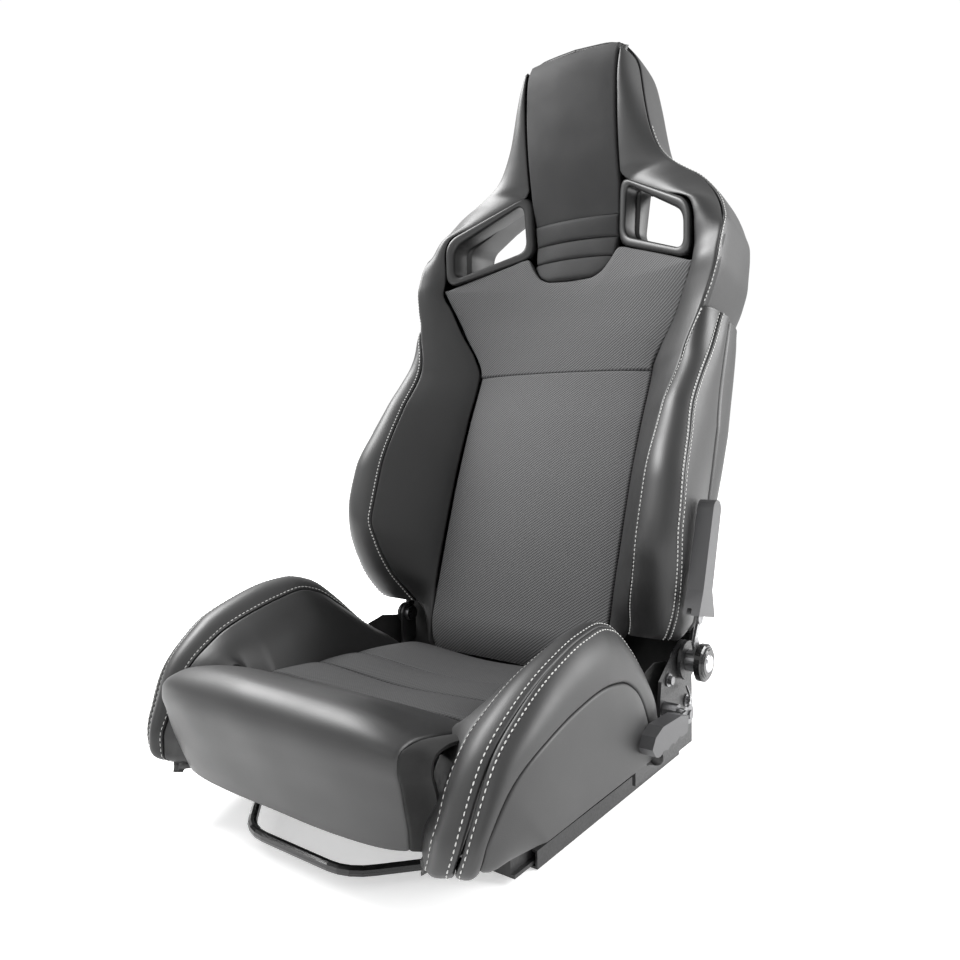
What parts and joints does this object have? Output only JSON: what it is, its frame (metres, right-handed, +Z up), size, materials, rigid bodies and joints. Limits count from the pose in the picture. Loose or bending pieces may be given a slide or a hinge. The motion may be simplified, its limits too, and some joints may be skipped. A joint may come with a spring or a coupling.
{
  "type": "racing seat",
  "caption": "Reclining sports bucket seat with deep side bolsters, integral headrest, harness openings, slide rails, recliner knob, levers and a slide handle.",
  "frame": {"origin": "middle of the bounding box at floor level, under the slide rails", "axes": "+X to the side that carries the levers, +Y to the rear, +Z up"},
  "size_m": [0.5586, 0.703, 0.9916],
  "materials": {
    "vinyl": "black grained vinyl, satin",
    "woven_fabric": "grey and black diagonal weave, matt",
    "fine_fabric": "fine black cloth, matt",
    "moulded_plastic": "satin black",
    "grip_plastic": "grey, satin",
    "painted_steel": "black powder coat",
    "gloss_painted_steel": "gloss black",
    "zinc_steel": "zinc plated",
    "bright_steel": "bright"
  },
  "bodies": {
    "rails": {"lower_rail_left": "painted_steel", "lower_rail_right": "painted_steel"},
    "seat_base": {"upper_rail_left": "painted_steel", "upper_rail_right": "painted_steel", "side_bracket_left": "painted_steel", "side_bracket_right": "painted_steel", "seat_pan": "painted_steel", "rear_cross_member": "painted_steel", "thigh_roll": "vinyl", "seat_insert_front": "woven_fabric", "seat_insert_middle": "woven_fabric", "seat_insert_rear": "woven_fabric", "seat_bolster_left": "vinyl", "seat_bolster_right": "vinyl", "seat_skirt_left": "vinyl", "seat_skirt_right": "vinyl", "recliner_plate_left": "painted_steel", "recliner_plate_right": "painted_steel", "pivot_bolt_left": "zinc_steel", "pivot_bolt_right": "zinc_steel", "recliner_knob": "gloss_painted_steel", "recliner_knob_cap": "bright_steel", "plate_bolt_upper": "zinc_steel", "plate_bolt_lower": "zinc_steel", "recline_pin": "zinc_steel", "recline_spring": "bright_steel"},
    "tilt_lever": {"tilt_lever_arm": "zinc_steel", "tilt_lever_grip": "grip_plastic"},
    "recline_lever": {"recline_lever_arm": "zinc_steel", "recline_lever_grip": "grip_plastic"},
    "slide_handle": {"slide_handle": "gloss_painted_steel", "slide_latch_left": "gloss_painted_steel", "slide_latch_right": "gloss_painted_steel"},
    "backrest": {"back_arm_left": "painted_steel", "back_arm_right": "painted_steel", "back_bolster_left": "vinyl", "back_bolster_right": "vinyl", "back_cover": "vinyl", "back_cross_tube": "painted_steel", "harness_bezel_left": "moulded_plastic", "harness_bezel_right": "moulded_plastic", "harness_rear_bezel_left": "moulded_plastic", "harness_rear_bezel_right": "moulded_plastic", "head_band_lower": "fine_fabric", "head_band_middle": "fine_fabric", "head_band_upper": "fine_fabric", "head_pad": "fine_fabric", "head_side_left": "vinyl", "head_side_right": "vinyl", "lumbar_pad": "woven_fabric", "shoulder_cover": "vinyl", "shoulder_side_left": "vinyl", "shoulder_side_right": "vinyl", "shoulder_top_left": "vinyl", "shoulder_top_right": "vinyl", "shoulder_wrap_left": "vinyl", "shoulder_wrap_right": "vinyl", "yoke_pad": "woven_fabric"}
  },
  "joints": [
    {"name": "seat_slide", "type": "slide", "parent": "rails", "child": "seat_base", "axis": [0, 1, 0], "range_m": [-0.08, 0.11]},
    {"name": "recline", "type": "hinge", "parent": "seat_base", "child": "backrest", "pos_m": [-0.01069, 0.10524, 0.158], "axis": [1, 0, 0], "range_deg": [-50, 35]},
    {"name": "tilt_lever_turn", "type": "hinge", "parent": "backrest", "child": "tilt_lever", "pos_m": [-0.01069, 0.10524, 0.158], "axis": [1, 0, 0], "range_deg": [0, 14], "stiffness_Nm_per_rad": 6, "springref_deg": -8.59},
    {"name": "recline_lever_turn", "type": "hinge", "parent": "seat_base", "child": "recline_lever", "pos_m": [-0.01069, 0.05024, 0.112], "axis": [-1, 0, 0], "range_deg": [0, 14], "stiffness_Nm_per_rad": 6, "springref_deg": -11.46},
    {"name": "slide_handle_lift", "type": "hinge", "parent": "seat_base", "child": "slide_handle", "pos_m": [-0.01069, -0.10476, 0.029], "axis": [-1, 0, 0], "range_deg": [0, 9], "stiffness_Nm_per_rad": 20, "springref_deg": -8.59}
  ]
}
